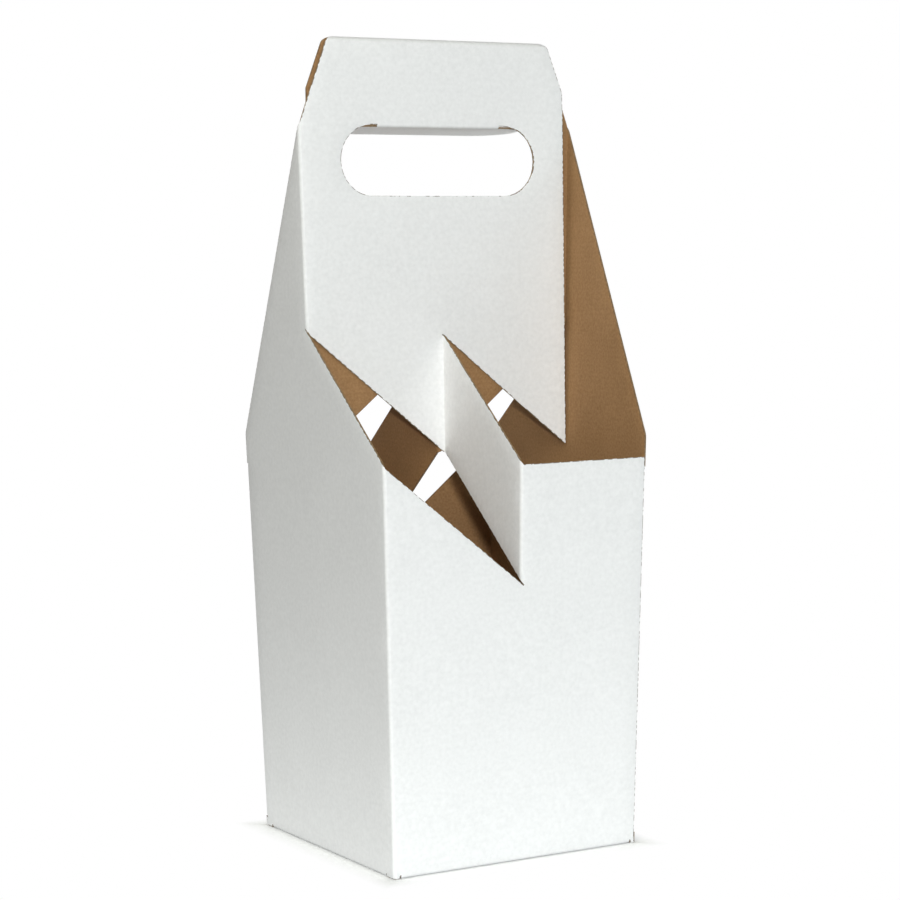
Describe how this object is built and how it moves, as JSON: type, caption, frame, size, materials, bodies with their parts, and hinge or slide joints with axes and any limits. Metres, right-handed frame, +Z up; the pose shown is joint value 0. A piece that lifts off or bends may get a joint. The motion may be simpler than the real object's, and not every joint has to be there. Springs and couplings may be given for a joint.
{
  "type": "bottle carrier",
  "caption": "Tall open bottle carrier folded from a single sheet of fluted board, with a folded-up handle, divider strips and a flat locked bottom.",
  "frame": {"origin": "middle of the base, on the underside of the bottom flaps", "axes": "+Z up through the handle, +X along the handle, -Y towards the front wall"},
  "size_m": [0.1906, 0.1802, 0.4865],
  "materials": {
    "board": "white paper outside, kraft paper inside"
  },
  "bodies": {
    "root": {"folded_carrier": "board"}
  },
  "joints": []
}
